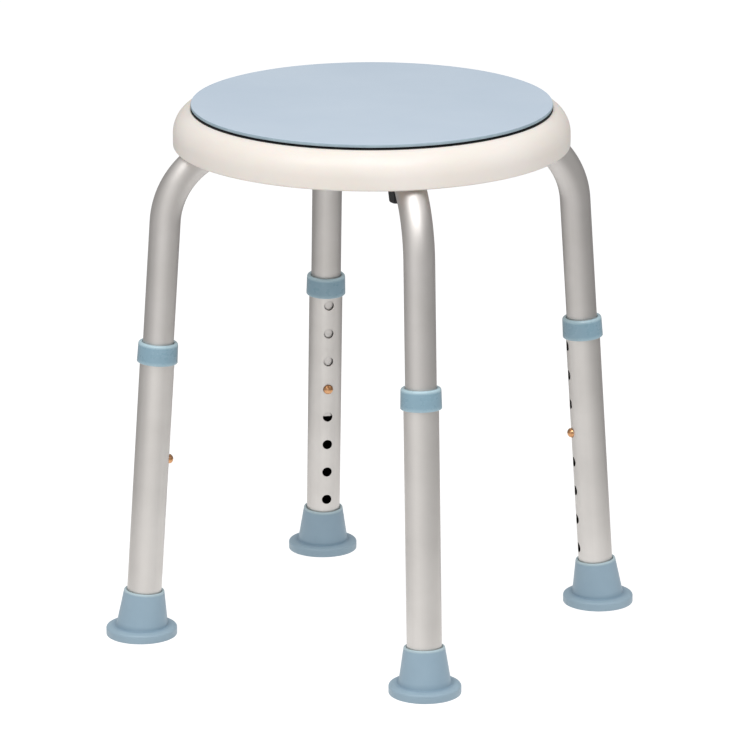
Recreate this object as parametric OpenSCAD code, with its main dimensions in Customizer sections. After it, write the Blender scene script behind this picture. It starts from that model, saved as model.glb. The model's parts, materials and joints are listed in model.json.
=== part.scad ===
// Height-adjustable shower stool with a seat that turns.
// The floor is at z = 0 and the seat turns about the Z axis. Each leg lies in a vertical plane
// through that axis: right +X, back +Y, left -X, front -Y. All sizes are in millimetres.

/* [Seat shell] */
// Diameter of the seat at its widest
seat_d = 326; // [310:1:345]
// Height of the upright skirt below the rim's shoulder
skirt_h = 10; // [8:0.5:12]
// Height of the rim's rounded shoulder
shoulder_h = 21; // [20:0.5:24]
// Width of the rim's rounded shoulder
shoulder_w = 18; // [15:0.5:22]
// Width of the lip between the rim's widest point and the round recess on top
lip_w = 15; // [12:0.5:17]
// Thickness of the rim's skirt
shell_wall = 3.2; // [2.4:0.1:4]
// Height of the recess floor above the rim's bottom edge
deck_z = 25; // [24:0.5:26]
// Thickness of the recess floor
deck_t = 3.5; // [3:0.1:4]
// Thickness of the ribs under the seat
rib_t = 2.5; // [1.8:0.1:3.5]
// Depth of the ribs under the seat
rib_h = 9; // [6:0.5:12]

/* [Pad and swivel] */
// How far the pad's edge reaches out over the rim's lip
pad_over = 0.5; // [0:0.1:3]
// Thickness of the foam pad
pad_t = 2.5; // [2:0.5:6]
// Mean diameter of the ring that the swivel plate glides on
glide_d = 248; // [242:1:256]
// Width of the glide ring
glide_w = 12; // [8:0.5:14]
// Height of the swivel plate's top above its glide ring
plate_h = 5.3; // [5.1:0.1:8]
// Diameter of the pivot bolt
pivot_d = 8; // [6:0.5:9]

/* [Leg tubes] */
// Outer diameter of the upper tube
tube_d = 25.4; // [23:0.2:26.6]
// Wall thickness of the upper tube
upper_wall = 1.2; // [1:0.1:1.5]
// Wall thickness of the lower tube
lower_wall = 1.5; // [1.2:0.1:2]
// Slope of the legs from the vertical
leg_splay = 3.8; // [2:0.2:6]
// Radius of the upper tube's bend, at the tube's axis
bend_r = 66; // [58:1:75]
// Distance from the seat's edge in to where the tube starts to bend
bend_inset = 56; // [50:1:62]
// Depth of the tube's axis above the rim's bottom edge, where it runs flat under the seat
arm_z = 5.4; // [4:0.1:6]
// Distance from the stool's axis to the inner end of each upper tube
arm_start = 34; // [32:1:50]

/* [Height adjustment] */
// Number of holes in each lower tube
hole_count = 8; // [6:1:9]
// Distance between the holes
hole_pitch = 25.4; // [22:0.2:28]
// Height of the lowest hole above the floor, along the leg
lowest_hole = 50; // [50:1:70]
// Hole that the snap buttons stand in, counted from the top
set_hole = 4; // [1:1:6]
// Diameter of the snap button
button_d = 7.9; // [6:0.1:9]
// How far the button stands out of the lower tube
button_proud = 3.8; // [2.5:0.1:5]
// Length of upper tube below the snap button
tube_tail = 25; // [18:1:27]

/* [Collars] */
// Height of the collar
collar_h = 17.2; // [14:0.2:24]
// Wall of the collar at its top
collar_top_wall = 2; // [1.5:0.1:3]
// Wall of the collar at its bottom
collar_base_wall = 2.6; // [2:0.1:4]
// Distance from the collar's bottom edge down to the top hole
collar_to_hole = 7; // [6:0.5:14]

/* [Feet] */
// Diameter of the foot's flange
foot_d = 59; // [52:1:70]
// Height of the foot, along the leg
foot_h = 38.6; // [32:0.2:44]
// Thickness of the foot's flange
flange_t = 8; // [6:0.5:10]
// Wall of the foot at its mouth
foot_mouth_wall = 2.6; // [2:0.1:4]
// Wall of the foot where it meets the flange
foot_base_wall = 7.2; // [5:0.1:9]
// Thickness of rubber under the foot's steel disc
sole_t = 7; // [5:0.5:9]

/* [Hand knobs] */
// Diameter of the hand knob at its top
knob_d = 20; // [17:0.5:28]
// Height of the hand knob
knob_h = 13.6; // [10:0.2:16]
// Diameter of the leg bolts
bolt_d = 6; // [5:0.5:8]

/* [Hidden] */
$fn = 96;
cut = 1;                    // how far a cut runs past the face it starts from

// The way each leg points, as a turn about Z from +X
right = 0;
back = 90;
left = 180;
front = 270;
all_legs = [front, right, back, left];

// Clearances, each on the radius or on one side
running = 0.1;              // a shaft that turns or slides in its bore
seated = 0.05;              // pieces of one body that are pushed together
loose = 0.3;                // moving pieces that pass each other
relief = 1;                 // round each leg tube where it passes the rim and the ribs
button_play = 0.2;          // round a snap button in its hole

// Leg tubes, from the inside out
tube_r = tube_d / 2;
tube_bore_r = tube_r - upper_wall;
lower_bore_r = tube_r + running;
lower_r = lower_bore_r + lower_wall;
drawn = 0.02;               // how much the tube's wall is thinned round its bend, on each face

// Places along a leg, measured up its axis from the floor
button_s = lowest_hole + (hole_count - set_hole) * hole_pitch;
top_hole_s = lowest_hole + (hole_count - 1) * hole_pitch;
collar_s = top_hole_s + collar_to_hole;
collar_top_s = collar_s + collar_h;
collar_lip = 2.5;           // the part of the collar above the lower tube's end
lower_top_s = collar_top_s - collar_lip;
disc_t = 2;                 // steel disc in the foot
lower_end_s = sole_t + disc_t;
tail_s = button_s - tube_tail;
// the bend starts where the collar's top comes with the button in the lowest hole
bend_s = button_s + (hole_count - 1) * hole_pitch + collar_to_hole + collar_h;

// The bend, in a leg's own upright plane
arm_reach = seat_d / 2 - bend_inset;
bend_low_z = bend_s * cos(leg_splay);
bend_low_x = arm_reach + bend_r * cos(leg_splay);
foot_x = bend_low_x + bend_s * sin(leg_splay);
arm_axis_z = bend_low_z + bend_r * (1 - sin(leg_splay));

// Heights in the seat
rim_z = arm_axis_z - arm_z;
deck_top_z = rim_z + deck_z;
deck_low_z = deck_top_z - deck_t;
glide_rise = 2;             // how far the glide ring stands above the recess floor
glide_seat = 1;             // how deep it sits in its groove
glide_top_z = deck_top_z + glide_rise;
plate_top_z = glide_top_z + plate_h;
plate_web_t = 3.1;          // the plate between its hub and its rim
plate_rim_t = 1.6;          // the plate's thin rim, in the shadow under the pad's edge
plate_web_z = plate_top_z - plate_web_t;

// Radii in the seat
seat_r = seat_d / 2;
recess_r = seat_r - lip_w;
pad_r = recess_r + pad_over;
plate_r = recess_r - loose - running;
glide_r = (glide_d + glide_w) / 2;
glide_bore_r = (glide_d - glide_w) / 2;

// Ribs under the seat, between one leg and the next
rib_turns = [27, 45, 63];
rib_from = 30;
rib_ring_r = 70;

// The pivot, from the bolt's head in the plate down to the nut under the boss
pivot_r = pivot_d / 2;
hex_flats = 1.625 * pivot_d;
head_h = 0.55 * pivot_d;
head_sunk = 0.2;
head_low_z = plate_top_z - head_sunk - head_h;
bush_wall = 2;
bush_r = pivot_r + running + bush_wall;
boss_r = 15;
boss_h = 6.5;
boss_low_z = deck_low_z - boss_h;
washer_top_z = boss_low_z - running;
nut_top_z = washer_top_z - 0.2 * pivot_d;
nut_low_z = nut_top_z - pivot_d;

// Bolts, the blocks that the tubes lie in, saddle washers and knobs
bolt_inset = 3;             // from the start of the bend in to the bolt
bolt_to_glide = 1.5;        // from a bolt's head out to the glide ring
bolt_r = bolt_d / 2;
bolt_head_r = 1.25 * bolt_d;
// a bolt stands just short of the bend, or inside the glide ring where that comes first
bolt_x = min(arm_reach - bolt_inset, glide_bore_r - bolt_to_glide - bolt_head_r);
block_wall = 4.3;           // either side of the tube
block_past_bolt = 10;
block_past_tube = 4;        // past the tube's inner end
block_half_w = tube_r + block_wall;
block_start_x = arm_start - block_past_tube;
block_end_x = bolt_x + block_past_bolt;
saddle_t = 2.8;             // from the tube down to the washer's flat underside
saddle_z = arm_axis_z - tube_r - saddle_t;
knob_low_z = saddle_z - knob_h;
knob_skin = 2;              // closed bottom of the knob's blind hole
bolt_gap = 1;               // from the bolt's end to the bottom of that hole

// Spring clip and the button's rivet, measured from the leg's axis
leaf_t = 0.8;
leaf_w = 7;
// the leaf lies as near to the tube's round wall as its flat width lets it
leaf_out = sqrt(pow(tube_bore_r, 2) - pow(leaf_w / 2, 2)) - running;
leaf_in = leaf_out - leaf_t;
rivet_r = 1.8;
rivet_head_r = 2.8;
rivet_head_t = 0.7;

shell_color = "ivory";
pad_color = "#B9CAD6";
fitting_color = "#8FAFC2";
foot_color = "#95B0C1";
tube_color = "#C9C7C4";

// Turns children, drawn in the XZ plane with the leg toward +X, to one leg's place
module to_leg(turn)
    rotate([0, 0, turn]) children();

// Puts children, drawn up the Z axis from the floor, on the sloping leg's axis
module on_leg_axis()
    translate([foot_x, 0, 0]) rotate([0, -leg_splay, 0]) children();

// Points along an arc or a quarter of an ellipse, from angle a to angle b
function arc(x, z, rx, rz, a, b, steps) =
    [for (i = [0:steps]) let (t = a + (b - a) * i / steps) [x + rx * cos(t), z + rz * sin(t)]];

function last(points) = points[len(points) - 1];
function reversed(points) = [for (i = [len(points) - 1:-1:0]) points[i]];
function unit(v) = v / norm(v);

// The line that runs beside a line of points, at a distance to its left
function edge_of(points, distance) = [
    for (i = [0:len(points) - 1])
        let (
            before = points[max(i - 1, 0)],
            after = points[min(i + 1, len(points) - 1)],
            along = unit(after - before)
        )
        points[i] + distance * [-along[1], along[0]]
];

// A hexagon's corner circle, from the width across its flats
function corner_r(flats) = flats / 2 / cos(30);

// The radius of a dome's sphere, from the dome's own radius and rise
function dome_sphere(r, rise) = (pow(r, 2) + pow(rise, 2)) / (2 * rise);

module hollow(r_out, r_in, length) {
    difference() {
        cylinder(h = length, r = r_out);
        translate([0, 0, -cut]) cylinder(h = length + 2 * cut, r = r_in);
    }
}

// ---- seat shell ----

// Half of the shell's section, with z measured from the rim's bottom edge
module shell_section() {
    edge = 1.5;
    lip_edge = 1;
    lip_turn = acos((shoulder_w - lip_w + lip_edge) / shoulder_w);
    skin_w = shoulder_w - shell_wall;
    skin_h = shoulder_h - shell_wall;
    ceiling_turn = asin((deck_z - deck_t - skirt_h) / skin_h);
    outside = concat(
        arc(seat_r - edge, edge, edge, edge, -90, 0, 6),
        arc(seat_r - shoulder_w, skirt_h, shoulder_w, shoulder_h, 0, lip_turn, 20)
    );
    crown = last(outside);
    inside = arc(seat_r - shoulder_w, skirt_h, skin_w, skin_h, ceiling_turn, 0, 10);
    polygon(concat(
        outside,
        arc(recess_r + lip_edge, crown[1] - lip_edge, lip_edge, lip_edge, 100, 180, 5),
        [[recess_r, deck_z], [0, deck_z], [0, deck_z - deck_t]],
        inside,
        [[seat_r - shell_wall, 0]]
    ));
}

module ring(r_out, r_in, low_z, high_z) {
    translate([0, 0, low_z]) hollow(r_out, r_in, high_z - low_z);
}

// The rim's outer radius at a height above its bottom edge
function rim_r(z) =
    seat_r - shoulder_w * (1 - sqrt(1 - pow(max(z - skirt_h, 0) / shoulder_h, 2)));

// Radial ribs in the four quarters between the legs, and a ring that ties them
module shell_ribs() {
    top = deck_z - deck_t / 2;
    low = deck_z - deck_t - rib_h;
    inset = shell_wall / 2;
    for (leg = all_legs, turn = rib_turns)
        rotate([90, 0, leg + turn])
            translate([0, rim_z, -rib_t / 2]) linear_extrude(height = rib_t) polygon([
                [rib_from, low], [rim_r(low) - inset, low], [rim_r(top) - inset, top], [rib_from, top]
            ]);
    ring(rib_ring_r + rib_t, rib_ring_r, rim_z + low, rim_z + top);
}

module shell_boss() {
    translate([0, 0, boss_low_z]) cylinder(h = boss_h + deck_t / 2, r = boss_r);
}

// Blocks that the tubes' flat arms lie in to half their depth
module arm_blocks() {
    block_l = block_end_x - block_start_x;
    block_h = deck_low_z + deck_t / 2 - arm_axis_z;
    for (leg = all_legs)
        to_leg(leg) translate([block_start_x, -block_half_w, arm_axis_z])
            cube([block_l, 2 * block_half_w, block_h]);
}

// The space round a tube's flat arm, run straight on past its bend
module arm_space(r) {
    from_x = block_start_x - cut;
    translate([from_x, 0, arm_axis_z]) rotate([0, 90, 0])
        cylinder(h = block_end_x + cut - from_x, r = r);
}

// A round-topped notch in the skirt's bottom edge, where the bent tube would come too near it
module rim_notch() {
    inner_x = seat_r - shell_wall;
    tube_top_z = arm_axis_z - bend_r
        + sqrt(pow(bend_r + tube_r, 2) - pow(inner_x - arm_reach, 2));
    notch_r = tube_r + relief;
    translate([inner_x - cut, 0, tube_top_z - tube_r]) rotate([0, 90, 0])
        cylinder(h = shell_wall + 2 * cut, r = notch_r);
}

module seat_shell() {
    neck = bolt_d + 2 * running;
    groove_z = deck_top_z - glide_seat;
    color(shell_color)
        difference() {
            union() {
                difference() {
                    union() {
                        translate([0, 0, rim_z]) rotate_extrude() shell_section();
                        shell_ribs();
                    }
                    for (leg = all_legs)
                        to_leg(leg) {
                            arm_space(tube_r + relief);
                            rim_notch();
                        }
                }
                arm_blocks();
                shell_boss();
            }
            for (leg = all_legs)
                to_leg(leg) {
                    arm_space(tube_r + seated);
                    translate([bolt_x - neck / 2, -neck / 2, arm_axis_z])
                        cube([neck, neck, deck_z]);
                }
            translate([0, 0, rim_z]) cylinder(h = deck_z + cut, r = bush_r + seated);
            ring(glide_r + running, glide_bore_r - running, groove_z, deck_top_z + cut);
        }
}

module glide_ring() {
    color("white") ring(glide_r, glide_bore_r, deck_top_z - glide_seat, glide_top_z);
}

// ---- pad and swivel ----

module pivot_bush() {
    color("gainsboro") ring(bush_r, pivot_r + running, boss_low_z, deck_top_z);
}

module swivel_plate() {
    hub_r = 18;
    hub_z = deck_top_z + 0.5;
    rim_w = 4;
    rim_edge = 0.6;
    ridge = 1;              // how far the ridge keeps inside the glide ring's edges
    ridge_in = glide_bore_r + ridge;
    ridge_out = glide_r - ridge;
    rim_top_z = plate_web_z + plate_rim_t;
    color("#17191B")
        difference() {
            rotate_extrude() polygon(concat(
                [[0, hub_z], [hub_r, hub_z], [hub_r, plate_web_z],
                 [ridge_in, plate_web_z], [ridge_in, glide_top_z],
                 [ridge_out, glide_top_z], [ridge_out, plate_web_z],
                 [plate_r - rim_edge, plate_web_z], [plate_r, plate_web_z + rim_edge]],
                arc(plate_r - rim_edge, rim_top_z - rim_edge, rim_edge, rim_edge, 0, 90, 4),
                [[recess_r - rim_w, rim_top_z], [recess_r - rim_w, plate_top_z],
                 [0, plate_top_z]]
            ));
            translate([0, 0, hub_z - cut])
                cylinder(h = plate_top_z - hub_z, r = pivot_r + seated);
            translate([0, 0, head_low_z])
                cylinder(h = head_h + cut, r = corner_r(hex_flats) + running, $fn = 6);
        }
}

module seat_pad() {
    edge = 1;
    low_edge = 0.4;
    color(pad_color)
        translate([0, 0, plate_top_z])
            rotate_extrude() polygon(concat(
                [[0, 0], [pad_r - low_edge, 0], [pad_r, low_edge]],
                arc(pad_r - edge, pad_t - edge, edge, edge, 0, 90, 6),
                [[0, pad_t]]
            ));
}

module pivot_bolt() {
    past_nut = 2;
    lap = 1;
    end_z = nut_low_z - past_nut;
    color("silver") {
        translate([0, 0, head_low_z]) cylinder(h = head_h, r = corner_r(hex_flats), $fn = 6);
        translate([0, 0, end_z]) cylinder(h = head_low_z + lap - end_z, r = pivot_r);
    }
}

module pivot_washer() {
    washer_r = 1.3 * pivot_d;
    color("silver") ring(washer_r, pivot_r + seated, nut_top_z, washer_top_z);
}

module pivot_nut() {
    color("silver")
        difference() {
            translate([0, 0, nut_low_z])
                cylinder(h = nut_top_z - nut_low_z, r = corner_r(hex_flats), $fn = 6);
            translate([0, 0, nut_low_z - cut])
                cylinder(h = nut_top_z - nut_low_z + 2 * cut, r = pivot_r + seated);
        }
}

// ---- what holds the legs to the seat ----

// Carriage bolts: a domed head on the recess floor, a square neck in it, and a plain shank
module leg_bolts() {
    head_rise = 0.5 * bolt_d;
    dome_r = dome_sphere(bolt_head_r, head_rise);
    neck_lap = 1;
    end_z = knob_low_z + knob_skin + bolt_gap;
    color("silver")
        for (leg = all_legs)
            to_leg(leg) translate([bolt_x, 0, 0]) {
                intersection() {
                    translate([0, 0, deck_top_z]) cylinder(h = head_rise + cut, r = bolt_head_r);
                    translate([0, 0, deck_top_z + head_rise - dome_r]) sphere(r = dome_r);
                }
                translate([-bolt_r, -bolt_r, deck_low_z]) cube([bolt_d, bolt_d, deck_t + neck_lap]);
                translate([0, 0, end_z]) cylinder(h = deck_top_z - end_z, r = bolt_r);
            }
}

// A washer with a flat face for the knob and a hollow one for the tube, cut short along the tube
module saddle_washer(turn) {
    washer_r = 9;
    washer_h = 5;
    half_l = 5;
    color("#1B1C1E")
        to_leg(turn)
            difference() {
                intersection() {
                    translate([bolt_x, 0, saddle_z]) cylinder(h = washer_h, r = washer_r);
                    translate([bolt_x - half_l, -washer_r - cut, saddle_z - cut])
                        cube([2 * half_l, 2 * (washer_r + cut), washer_h + 2 * cut]);
                }
                arm_space(tube_r + running);
                translate([bolt_x, 0, saddle_z - cut])
                    cylinder(h = washer_h, r = bolt_r + running);
            }
}

module hand_knob(turn) {
    taper = 1.2;            // how much narrower the knob is at its bottom, on the radius
    edge = 1.8;
    top_edge = 0.6;
    band = 1.5;             // upright band at the top, as wide as the knob gets
    flute_gap = 0.5;        // from the flutes' ends up to that band
    flutes = 10;
    flute_r = 2.2;
    flute_out = 0.8;        // from the knob's edge out to the middle of a flute
    top_r = knob_d / 2;
    low_r = top_r - taper;
    color("#1B1C1E")
        to_leg(turn) translate([bolt_x, 0, knob_low_z])
            difference() {
                rotate_extrude() polygon(concat(
                    [[0, 0]],
                    arc(low_r - edge, edge, edge, edge, -90, 0, 5),
                    [[top_r, knob_h - band], [top_r, knob_h - top_edge],
                     [top_r - top_edge, knob_h], [0, knob_h]]
                ));
                for (i = [0:flutes - 1])
                    rotate([0, 0, i * 360 / flutes])
                        translate([top_r + flute_out, 0, -cut])
                            cylinder(h = knob_h - band - flute_gap + cut, r = flute_r, $fn = 32);
                translate([0, 0, knob_skin])
                    cylinder(h = knob_h, r = bolt_r + running / 2);
            }
}

module tube_plugs() {
    cap_t = 2;
    body_l = 12;
    body_wall = 1.5;
    body_r = tube_bore_r - seated;
    color("#1B1C1E")
        for (leg = all_legs)
            to_leg(leg) translate([arm_start - cap_t, 0, arm_axis_z]) rotate([0, 90, 0])
                difference() {
                    union() {
                        cylinder(h = cap_t, r = tube_r);
                        cylinder(h = cap_t + body_l, r = body_r);
                    }
                    translate([0, 0, cap_t]) cylinder(h = body_l + cut, r = body_r - body_wall);
                }
}

// ---- upper leg ----

// The tube's bend. Bending draws its wall a hair thinner than the straight runs
module tube_bend() {
    translate([arm_reach, 0, arm_axis_z - bend_r]) rotate([90, 0, 0])
        rotate_extrude(start = leg_splay, angle = 90 - leg_splay)
            translate([bend_r, 0]) difference() {
                circle(r = tube_r - drawn);
                circle(r = tube_bore_r + drawn);
            }
}

// A straight run of tube up the Z axis. Its top tapers into the wall of the bend that follows it
module straight_run(length) {
    lap = 1;
    taper = 0.3;
    rotate_extrude() polygon([
        [tube_bore_r, 0], [tube_r, 0], [tube_r, length], [tube_r - taper, length + lap],
        [tube_bore_r + taper, length + lap], [tube_bore_r, length]
    ]);
}

module leg_upper(turn) {
    color(tube_color)
        to_leg(turn)
            difference() {
                union() {
                    on_leg_axis() translate([0, 0, tail_s]) straight_run(bend_s - tail_s);
                    tube_bend();
                    translate([arm_start, 0, arm_axis_z]) rotate([0, 90, 0])
                        straight_run(arm_reach - arm_start);
                }
                button_hole(button_s);
                translate([bolt_x, 0, arm_axis_z - tube_d])
                    cylinder(h = 2 * tube_d, r = bolt_r + loose);
            }
}

// A hole through one wall of a leg tube, on the side that faces the stool's axis
module button_hole(s) {
    on_leg_axis()
        translate([0, 0, s]) rotate([0, -90, 0])
            cylinder(h = 2 * lower_r, r = button_d / 2 + button_play);
}

// The bent leaf inside the tube. Its outline is two edges, each half a thickness off its middle line
module spring_clip(turn) {
    arm_x = leaf_out - leaf_t / 2;
    tail = 12;              // how far the leaf's ends hang below the button
    straight = 7;           // how far the button's side stays flat above it
    nose_s = 40;            // height of the leaf's nose above the button
    nose_r = 3;
    lean = atan((arm_x - nose_r) / (nose_s - straight));
    middle = concat(
        [[-arm_x, -tail], [-arm_x, straight]],
        arc(0, nose_s, nose_r, nose_r, 180 - lean, lean, 10),
        [[arm_x, straight], [arm_x, -tail]]
    );
    color("silver")
        to_leg(turn) on_leg_axis() translate([0, 0, button_s])
            difference() {
                rotate([90, 0, 0])
                    linear_extrude(height = leaf_w, center = true)
                        polygon(concat(
                            edge_of(middle, leaf_t / 2),
                            reversed(edge_of(middle, -leaf_t / 2))
                        ));
                rotate([0, -90, 0]) cylinder(h = tube_r, r = rivet_r + seated);
            }
}

// The button, with its tail through the leaf, drawn along Z and laid toward the stool's axis
module snap_button(turn) {
    tip = lower_r + button_proud;
    head_r = button_d / 2;
    dome_h = 2.5;
    dome_r = dome_sphere(head_r, dome_h);
    lap = 1;
    color("goldenrod")
        to_leg(turn) on_leg_axis() translate([0, 0, button_s]) rotate([0, -90, 0]) {
            intersection() {
                translate([0, 0, leaf_out]) cylinder(h = tip - leaf_out, r = head_r);
                union() {
                    translate([0, 0, tip - dome_r]) sphere(r = dome_r);
                    cylinder(h = tip - dome_h, r = tube_r);
                }
            }
            translate([0, 0, leaf_in - rivet_head_t]) {
                cylinder(h = rivet_head_t, r = rivet_head_r);
                cylinder(h = rivet_head_t + leaf_t + lap, r = rivet_r);
            }
        }
}

// ---- lower leg ----

module leg_lower(turn) {
    color(tube_color)
        to_leg(turn)
            difference() {
                on_leg_axis()
                    translate([0, 0, lower_end_s])
                        hollow(lower_r, lower_bore_r, lower_top_s - lower_end_s);
                for (i = [0:hole_count - 1])
                    button_hole(lowest_hole + i * hole_pitch);
            }
}

module collar(turn) {
    top_r = lower_r + collar_top_wall;
    base_r = lower_r + collar_base_wall;
    top_edge = 1.8;
    base_edge = 1.2;
    mouth_edge = 1;
    lip_r = tube_r + loose;
    grip_r = lower_r + seated;
    grip_h = collar_h - collar_lip;
    color(fitting_color)
        to_leg(turn) on_leg_axis() translate([0, 0, collar_s])
            rotate_extrude() polygon(concat(
                [[grip_r, 0], [base_r - base_edge / 2, 0], [base_r, base_edge]],
                arc(top_r - top_edge, collar_h - top_edge, top_edge, top_edge, 0, 90, 6),
                [[lip_r + mouth_edge, collar_h], [lip_r, collar_h - mouth_edge],
                 [lip_r, grip_h], [grip_r, grip_h]]
            ));
}

// The flange lies flat on the floor, and the socket above it follows the leg's slope
module foot(turn) {
    sole_edge = 0.8;
    flange_edge = 1.8;
    bore_r = lower_r + seated;
    mouth_r = lower_r + foot_mouth_wall;
    base_r = lower_r + foot_base_wall;
    mouth_edge = 1;
    fillet = 1.2;
    root_s = 3.5;           // where the socket's wall starts, inside the flange
    grooves = [0.45, 0.65, 0.85];   // shares of the flange's radius
    groove_w = 1.6;
    groove_h = 1.2;
    flange_r = foot_d / 2;
    color(foot_color)
        to_leg(turn)
            difference() {
                union() {
                    translate([foot_x, 0, 0]) rotate_extrude() polygon(concat(
                        [[0, 0], [flange_r - sole_edge, 0], [flange_r, sole_edge]],
                        arc(flange_r - flange_edge, flange_t - flange_edge - 0.5,
                            flange_edge, flange_edge, 0, 80, 6),
                        [[base_r - fillet, flange_t], [0, flange_t]]
                    ));
                    on_leg_axis() rotate_extrude() polygon(concat(
                        [[0, root_s], [base_r, root_s]],
                        [[base_r + fillet, flange_t - 0.4], [base_r + fillet, flange_t + 0.1]],
                        arc(base_r + fillet - 0.3, flange_t + 0.1 + fillet, fillet, fillet,
                            -90, -180 + 8, 5),
                        arc(mouth_r - mouth_edge, foot_h - mouth_edge, mouth_edge, mouth_edge,
                            0, 90, 4),
                        [[0, foot_h]]
                    ));
                }
                on_leg_axis() {
                    translate([0, 0, sole_t]) cylinder(h = foot_h, r = bore_r);
                    translate([0, 0, foot_h - mouth_edge])
                        cylinder(h = 2 * mouth_edge, r1 = bore_r, r2 = bore_r + 1.6 * mouth_edge);
                }
                translate([foot_x, 0, 0])
                    for (share = grooves)
                        ring(share * flange_r + groove_w / 2, share * flange_r - groove_w / 2,
                            -cut, groove_h);
            }
}

module foot_disc(turn) {
    color("silver")
        to_leg(turn) on_leg_axis()
            translate([0, 0, sole_t]) cylinder(h = disc_t, r = lower_r - running);
}

seat_shell();
glide_ring();
pivot_bush();
leg_bolts();
tube_plugs();
swivel_plate();
seat_pad();
pivot_bolt();
pivot_washer();
pivot_nut();
leg_upper(front);  // leg_upper_front
leg_upper(right);  // leg_upper_right
leg_upper(back);  // leg_upper_back
leg_upper(left);  // leg_upper_left
spring_clip(front);  // spring_clip_front
spring_clip(right);  // spring_clip_right
spring_clip(back);  // spring_clip_back
spring_clip(left);  // spring_clip_left
snap_button(front);  // snap_button_front
snap_button(right);  // snap_button_right
snap_button(back);  // snap_button_back
snap_button(left);  // snap_button_left
leg_lower(front);  // leg_lower_front
leg_lower(right);  // leg_lower_right
leg_lower(back);  // leg_lower_back
leg_lower(left);  // leg_lower_left
collar(front);  // collar_front
collar(right);  // collar_right
collar(back);  // collar_back
collar(left);  // collar_left
foot(front);  // foot_front
foot(right);  // foot_right
foot(back);  // foot_back
foot(left);  // foot_left
foot_disc(front);  // foot_disc_front
foot_disc(right);  // foot_disc_right
foot_disc(back);  // foot_disc_back
foot_disc(left);  // foot_disc_left
saddle_washer(front);  // saddle_washer_front
saddle_washer(right);  // saddle_washer_right
saddle_washer(back);  // saddle_washer_back
saddle_washer(left);  // saddle_washer_left
hand_knob(front);  // hand_knob_front
hand_knob(right);  // hand_knob_right
hand_knob(back);  // hand_knob_back
hand_knob(left);  // hand_knob_left
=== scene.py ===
import json
import math
import bmesh
import bpy
from mathutils import Matrix, Vector
from mathutils.kdtree import KDTree


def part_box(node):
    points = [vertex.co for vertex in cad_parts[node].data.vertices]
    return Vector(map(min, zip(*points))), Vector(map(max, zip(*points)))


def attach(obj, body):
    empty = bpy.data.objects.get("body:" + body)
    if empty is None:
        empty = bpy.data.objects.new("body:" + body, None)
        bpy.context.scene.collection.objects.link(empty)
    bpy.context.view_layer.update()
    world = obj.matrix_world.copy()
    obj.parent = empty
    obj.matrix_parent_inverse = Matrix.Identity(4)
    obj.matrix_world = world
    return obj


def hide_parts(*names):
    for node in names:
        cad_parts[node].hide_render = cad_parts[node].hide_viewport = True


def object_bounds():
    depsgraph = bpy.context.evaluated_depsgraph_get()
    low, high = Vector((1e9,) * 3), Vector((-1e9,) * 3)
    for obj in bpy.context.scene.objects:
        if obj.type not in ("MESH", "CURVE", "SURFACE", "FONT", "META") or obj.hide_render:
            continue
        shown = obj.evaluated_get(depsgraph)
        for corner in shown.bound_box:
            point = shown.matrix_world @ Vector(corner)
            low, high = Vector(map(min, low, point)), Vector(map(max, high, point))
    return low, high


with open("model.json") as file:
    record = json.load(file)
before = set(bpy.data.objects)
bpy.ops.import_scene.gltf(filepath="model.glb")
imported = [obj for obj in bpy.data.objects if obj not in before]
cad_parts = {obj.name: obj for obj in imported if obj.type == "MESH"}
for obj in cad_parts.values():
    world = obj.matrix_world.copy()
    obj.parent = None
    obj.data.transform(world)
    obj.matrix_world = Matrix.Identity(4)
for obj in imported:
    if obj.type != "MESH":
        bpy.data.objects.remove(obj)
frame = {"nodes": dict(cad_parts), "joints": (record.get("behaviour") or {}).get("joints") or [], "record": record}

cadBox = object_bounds()   # the solids' own box, before anything is dressed
mm = 0.001
same = 1e-7   # points this close, in metres, are one
flush = 1e-5   # points this close to a height lie at it

legTurns = {}   # each leg's turn about Z, with +X as nought
for mount in frame["record"]["mounts"]:
    if mount["name"].startswith("sole_"):
        legTurns[mount["name"][5:]] = math.atan2(mount["pos_m"][1], mount["pos_m"][0])
        footX = math.hypot(mount["pos_m"][0], mount["pos_m"][1])
legSlide = next(j for j in frame["joints"] if j["name"] == "leg_extend_right")
splay = math.atan2(legSlide["axis"][0], -legSlide["axis"][2])

seatLow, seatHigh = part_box("seat_shell")
plateLow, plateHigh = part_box("swivel_plate")
padLow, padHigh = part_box("seat_pad")
knobLow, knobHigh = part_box("hand_knob_right")
upperLow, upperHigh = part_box("leg_upper_right")
seatR = seatHigh.x
upperR = upperHigh.y
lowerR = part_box("leg_lower_right")[1].y
armZ = upperHigh.z - upperR   # the flat run of tube under the seat, and where it starts
armStart = upperLow.x
boltX = (knobLow.x + knobHigh.x) / 2   # the arm bolt and its knob

# where things stand along a leg, up its own axis from the sole
legSizes = {
    "holeCount": 8,
    "holePitch": 25.4 * mm,
    "lowestHole": 50 * mm,
    "buttonAt": 151.6 * mm,
    "tubeTail": 25 * mm,   # upper tube below the button
    "lowerStart": 9 * mm,
    "lowerEnd": 249.5 * mm,
    "collarAt": 234.8 * mm,
    "bendRadius": 66 * mm,
    "upperWall": 1.2 * mm,
    "lowerWall": 1.46 * mm,
}


def srgb(hexText):
    channels = [int(hexText[i:i + 2], 16) / 255 for i in (1, 3, 5)]
    linear = [c / 12.92 if c <= 0.04045 else ((c + 0.055) / 1.055) ** 2.4 for c in channels]
    return (*linear, 1)


def addNode(tree, kind, inputs=None, **settings):
    node = tree.nodes.new(kind)
    for name, value in settings.items():
        setattr(node, name, value)
    for name, value in (inputs or {}).items():
        if isinstance(value, bpy.types.NodeSocket):
            tree.links.new(value, node.inputs[name])
        else:
            node.inputs[name].default_value = value
    return node


def mathNode(tree, operation, a, b):
    return addNode(tree, "ShaderNodeMath", {0: a, 1: b}, operation=operation).outputs[0]


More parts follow.
